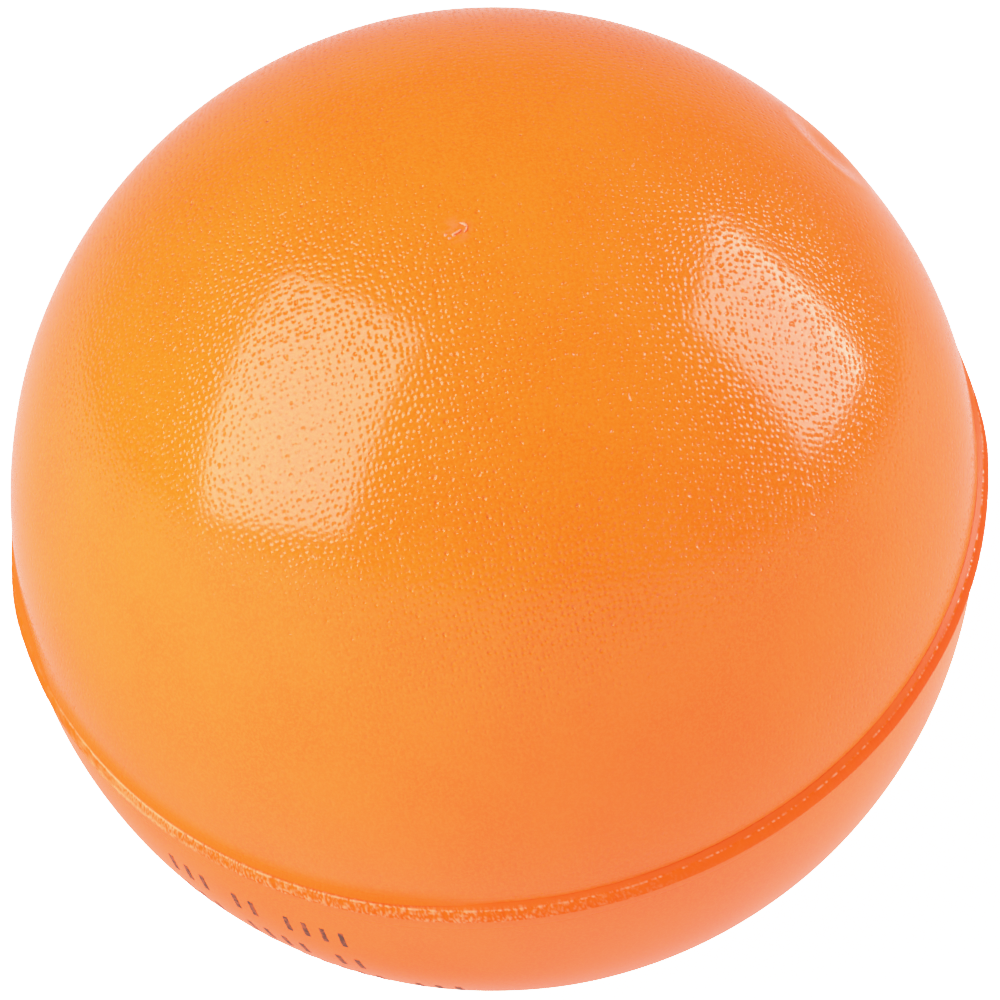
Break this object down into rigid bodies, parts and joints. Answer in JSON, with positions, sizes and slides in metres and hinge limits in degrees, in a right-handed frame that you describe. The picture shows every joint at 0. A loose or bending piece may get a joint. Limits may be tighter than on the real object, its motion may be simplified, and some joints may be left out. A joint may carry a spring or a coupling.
{
  "type": "moulded foam ball",
  "caption": "Smooth moulded foam play ball with a dense satin skin and a raised parting band around its waist.",
  "frame": {"origin": "the ball's centre, midway between the poles on the mould axis", "axes": "+Z along the mould axis towards the vented upper pole; the lower half is shifted towards -X, and the printed mark is on the -X -Y side of the lower half"},
  "size_m": [0.0642, 0.0642, 0.0649],
  "materials": {
    "foam": "matte open-celled flexible polyurethane foam",
    "skin": "satin integral polyurethane skin with fine moulded pits",
    "band": "trimmed flash: satin ledge and a rough crest",
    "torn_foam": "torn, matte foam stub",
    "ink": "thin matte pad-printed ink"
  },
  "bodies": {
    "root": {"foam_core": "foam", "upper_skin": "skin", "lower_skin": "skin", "parting_band": "band", "vent_nib": "torn_foam", "printed_mark": "ink"}
  },
  "joints": []
}
